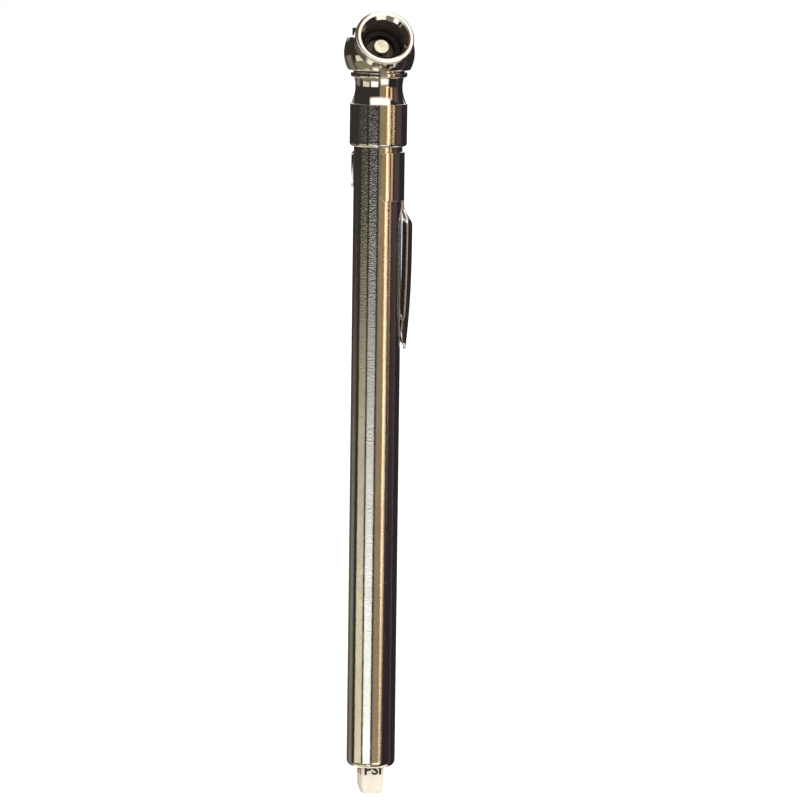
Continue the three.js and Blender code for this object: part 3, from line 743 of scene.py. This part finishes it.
def pressure_spring():
    turns, closed_turns, closed_pitch = 30, 1.5, 0.75 * MM
    steps, round_wire = turns * 40, 12
    low, high = SPRING_LOW + WIRE_R, SPRING_HIGH - WIRE_R
    open_turns = turns - 2 * closed_turns
    open_height = high - low - 2 * closed_turns * closed_pitch
    ring = [2 * pi * k / round_wire for k in range(round_wire)]
    sections = []
    for i in range(steps + 1):
        turn = turns * i / steps
        share = min(1, max(0, (turn - closed_turns) / open_turns))
        z = low + (turn - share * open_turns) * closed_pitch + share * open_height
        angle = 2 * pi * turn
        radial = Vector((cos(angle), sin(angle), 0))
        centre = radial * SPRING_R + Vector((0, 0, z))
        sections.append([centre + radial * WIRE_R * cos(a) + Vector((0, 0, WIRE_R * sin(a))) for a in ring])
    obj = smooth(add_object("pressure_spring_fine", loft_mesh("spring", sections)), 50)
    place(obj, "gauge_body", STEEL, "steel", "pressure_spring")
    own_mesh(obj)


# ------------------------------------------------------------------ run

chuck_body()
mouth_ferrule()
valve_washer()
depressor_pin()
barrel()
pocket_clip()
indicator_bar()
bar_scales()
pressure_spring()

OTHER_FINISHES = {
    "barrel_gasket": RUBBER, "piston_cup": RUBBER, "piston_head": BRASS, "piston_screw": STEEL,
    "spring_seat": STEEL, "drag_washer": FIBRE, "end_guide": DARK_PLASTIC, "bar_cap": BRASS,
}
for node, finish in OTHER_FINISHES.items():
    coat(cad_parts[node], finish)


# ------------------------------------------------------------------ camera

CAMERA_DISTANCE = 1.2
CAMERA_ELEVATION, CAMERA_ROLL = 6.5, 0.74  # degrees
FRAME_WIDTH = 0.1552  # what the picture's width covers at the object
SENSOR_WIDTH = 36
AIM = Vector((0.00486, 0, 0.0113))

camera_data = bpy.data.cameras.new("camera")
camera = add_object("camera", camera_data)
bpy.context.scene.camera = camera
lift = radians(CAMERA_ELEVATION)
camera.location = AIM + CAMERA_DISTANCE * Vector((0, -cos(lift), sin(lift)))
facing = (AIM - camera.location).to_track_quat("-Z", "Y")
camera.rotation_euler = (facing @ Euler((0, 0, radians(CAMERA_ROLL))).to_quaternion()).to_euler()
camera_data.sensor_width = SENSOR_WIDTH
camera_data.lens = SENSOR_WIDTH * CAMERA_DISTANCE / FRAME_WIDTH
camera_data.clip_start = 0.01


# ------------------------------------------------------------------ studio

PLAIN_WHITE = 0.85  # what lights the matt surfaces


def studio_world():
    """White where the camera looks, an even white for matt surfaces, and a studio of boards in the metal."""
    world = bpy.data.worlds.new("studio")
    bpy.context.scene.world = world
    world.use_nodes = True
    tree = world.node_tree
    tree.nodes.clear()
    new, link = tree.nodes.new, tree.links.new

    def math(operation, *values):
        made = new("ShaderNodeMath")
        made.operation = operation
        for socket, value in zip(made.inputs, values):
            if isinstance(value, (int, float)):
                socket.default_value = value
            else:
                link(value, socket)
        return made.outputs[0]

    def step(value, at, soft):
        """0 below at, 1 above it, over soft degrees."""
        made = new("ShaderNodeMapRange")
        made.interpolation_type = "SMOOTHSTEP"
        link(value, made.inputs["Value"])
        made.inputs["From Min"].default_value = at - soft / 2
        made.inputs["From Max"].default_value = at + soft / 2
        return made.outputs["Result"]

    split = new("ShaderNodeSeparateXYZ")
    link(new("ShaderNodeTexCoord").outputs["Generated"], split.inputs[0])
    x, y, z = split.outputs
    turn = math("MULTIPLY", math("ARCTAN2", x, math("MULTIPLY", y, -1)), 180 / pi)
    rise = math("MULTIPLY", math("ARCSINE", z), 180 / pi)

    colour = None
    for low, high, bottom, top, soft, board, strength in BOARDS:
        shade = new("ShaderNodeRGB")
        shade.outputs[0].default_value = [c * strength for c in rgb(*board)[:3]] + [1]
        if colour is None:
            colour = shade.outputs[0]
            continue
        inside = math("MULTIPLY", step(turn, low, soft), math("SUBTRACT", 1, step(turn, high, soft)))
        level = math("MULTIPLY", step(rise, bottom, soft), math("SUBTRACT", 1, step(rise, top, soft)))
        mixed = new("ShaderNodeMix")
        mixed.data_type = "RGBA"
        link(math("MULTIPLY", inside, level), mixed.inputs["Factor"])
        link(colour, mixed.inputs["A"])
        link(shade.outputs[0], mixed.inputs["B"])
        colour = mixed.outputs["Result"]

    path = new("ShaderNodeLightPath")
    studio, plain, white = [new("ShaderNodeBackground") for _ in range(3)]
    link(colour, studio.inputs["Color"])
    plain.inputs["Strength"].default_value = PLAIN_WHITE
    plain.inputs["Color"].default_value = (1, 1, 1, 1)
    white.inputs["Color"].default_value = (1, 1, 1, 1)
    matt = new("ShaderNodeMixShader")
    link(path.outputs["Is Diffuse Ray"], matt.inputs["Fac"])
    link(studio.outputs[0], matt.inputs[1])
    link(plain.outputs[0], matt.inputs[2])
    seen = new("ShaderNodeMixShader")
    link(path.outputs["Is Camera Ray"], seen.inputs["Fac"])
    link(matt.outputs[0], seen.inputs[1])
    link(white.outputs[0], seen.inputs[2])
    link(seen.outputs[0], new("ShaderNodeOutputWorld").inputs["Surface"])


# Boards round the object: degrees from -Y towards +X (low, high), degrees above level (bottom, top),
# soft edge in degrees, display colour, strength. The first is the dark room that the others stand in.
BOARDS = [
    (-180, 180, -90, 90, 1, (52, 48, 43), 1.4),
    (-95, 80, -90, -22, 10, (128, 122, 98), 1.4),
    (-74, -44, -86, -46, 8, (214, 204, 172), 1.4),
    (-28, -2, -86, -46, 8, (252, 248, 236), 1.5),
    (22, 42, -86, -46, 8, (140, 98, 62), 1.4),
    (-166, -100, -90, -6.4, 2, (86, 82, 76), 1.4),
    (-130, -106, -90, -6.4, 2, (124, 118, 110), 1.4),
    (-83, -47, -21, -6.5, 2, (226, 216, 188), 1.4),
    (-38, -3, -25, -6.9, 3.2, (255, 255, 252), 1.7),
    (6, 40, -20, 30, 8, (142, 130, 108), 1.4),
    (24, 54, -10, 30, 14, (156, 122, 88), 1.4),
    (52, 172, -90, 40, 6, (46, 39, 44), 1.4),
    (36, 52, -7.4, -4.6, 3, (255, 238, 205), 1.8),
    (37, 45, -9.5, 30, 3.5, (255, 226, 180), 2.1),
    (58, 68, -4.8, 30, 4, (236, 186, 144), 1.6),
    (75, 96, -4.5, 30, 8, (100, 82, 66), 1.4),
    (97, 105, -90, 30, 6, (78, 68, 74), 1.4),
    (10, 48, -40, -14, 5, (255, 253, 246), 1.6),
    (-181, -95, -90, -42, 10, (246, 240, 216), 1.45),
    (95, 181, -90, -42, 10, (246, 240, 216), 1.45),
    (-120, 26, 50, 91, 5, (112, 82, 58), 1.4),
    (24, 90, 46, 84, 6, (255, 252, 245), 1.7),
    (-42, 58, 28, 50, 10, (255, 252, 245), 1.7),
    (140, 181, 12, 75, 10, (255, 255, 255), 1.5),
    (-181, -140, 12, 75, 10, (255, 255, 255), 1.5),
    (170, 181, -90, 90, 4, (255, 255, 255), 1.5),
    (-181, -162, -90, 90, 4, (255, 255, 255), 1.5),
]
studio_world()

FLOOR_R, FLOOR_THICKNESS = 3, 0.01
FLOOR_DROP = 0.06  # below the lowest point
PAPER_GLOW = 0.4  # strength of the paper's glow to the camera


def paper():
    """White paper that glows a little to the camera and that the metal doesn't reflect."""
    paint = Paint("floor_paper")
    pulp = paint.noise(4 * MM, 5)
    color = paint.mix(pulp, (0.93, 0.93, 0.93, 1), (0.90, 0.90, 0.90, 1))
    paint.set(color=color, roughness=0.9, specular=0.0)
    path = paint.node("ShaderNodeLightPath").outputs
    strength = paint.node("ShaderNodeMath", {0: path["Is Camera Ray"], 1: PAPER_GLOW}, operation="MULTIPLY")
    glow = paint.node("ShaderNodeEmission", {"Color": (1, 1, 1, 1), "Strength": strength.outputs[0]})
    lit = paint.node("ShaderNodeAddShader", {0: paint.shader.outputs[0], 1: glow.outputs[0]}).outputs[0]
    clear = paint.node("ShaderNodeBsdfTransparent").outputs[0]
    seen = paint.node("ShaderNodeMixShader", {"Fac": path["Is Glossy Ray"], 1: lit, 2: clear}).outputs[0]
    paint.feed(paint.tree.nodes["Material Output"].inputs["Surface"], seen)
    return paint.material


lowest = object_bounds()[0][2]
floor_mesh = disc_mesh(FLOOR_R, lowest - FLOOR_DROP - FLOOR_THICKNESS, lowest - FLOOR_DROP, 64)
floor = smooth(add_object("floor", floor_mesh))
coat(floor, paper())

KEY_ENERGY, KEY_SIZE = 5, 0.6
KEY_PLACE = Vector((0.3, -0.95, 0.6))

key_data = bpy.data.lights.new("key", "AREA")
key_data.energy, key_data.size = KEY_ENERGY, KEY_SIZE
key = add_object("key", key_data)
key.location = KEY_PLACE
key.rotation_euler = (-KEY_PLACE).to_track_quat("-Z", "Y").to_euler()
key.visible_glossy = False

bpy.context.scene.view_settings.view_transform = "Standard"
